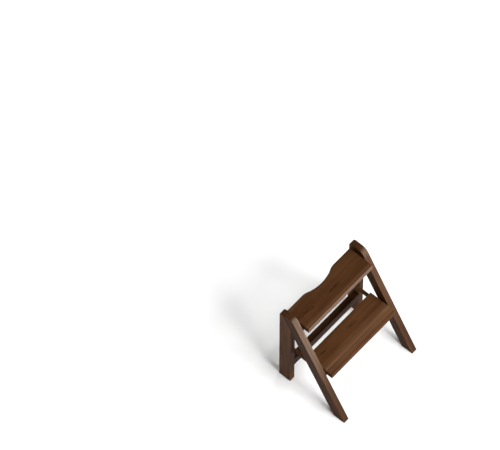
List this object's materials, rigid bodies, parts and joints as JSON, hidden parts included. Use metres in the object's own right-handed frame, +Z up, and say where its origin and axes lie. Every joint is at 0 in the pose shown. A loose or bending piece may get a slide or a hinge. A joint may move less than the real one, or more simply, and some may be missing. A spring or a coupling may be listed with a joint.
{
  "type": "spa steps",
  "caption": "Free-standing timber step unit for a hot tub: treads held between A-shaped sides of a leaning stringer and an upright rear leg.",
  "frame": {"origin": "centre of the footprint on the floor", "axes": "+X to the user's right when facing the steps, +Y towards the tub that the steps stand against, so the front is -Y, +Z up"},
  "size_m": [0.45, 0.35, 0.51],
  "materials": {
    "stained_timber": "dark brown stained and oiled softwood, satin, with visible grain and lighter worn edges",
    "beech_dowel": "plain pale beech dowel pins",
    "screw_steel": "plain stainless steel wood screws, satin"
  },
  "bodies": {
    "root": {"apex_dowels_left": "beech_dowel", "apex_dowels_right": "beech_dowel", "apex_screw_left": "screw_steel", "apex_screw_right": "screw_steel", "lower_cleat_left": "stained_timber", "lower_cleat_right": "stained_timber", "lower_cleat_screws_left": "screw_steel", "lower_cleat_screws_right": "screw_steel", "lower_tread": "stained_timber", "lower_tread_screws_left": "screw_steel", "lower_tread_screws_right": "screw_steel", "rail_dowels_left": "beech_dowel", "rail_dowels_right": "beech_dowel", "rear_leg_left": "stained_timber", "rear_leg_right": "stained_timber", "rear_rail": "stained_timber", "stringer_left": "stained_timber", "stringer_right": "stained_timber", "upper_cleat_left": "stained_timber", "upper_cleat_right": "stained_timber", "upper_cleat_screws_left": "screw_steel", "upper_cleat_screws_right": "screw_steel", "upper_tread": "stained_timber", "upper_tread_screws_left": "screw_steel", "upper_tread_screws_right": "screw_steel"}
  },
  "joints": []
}
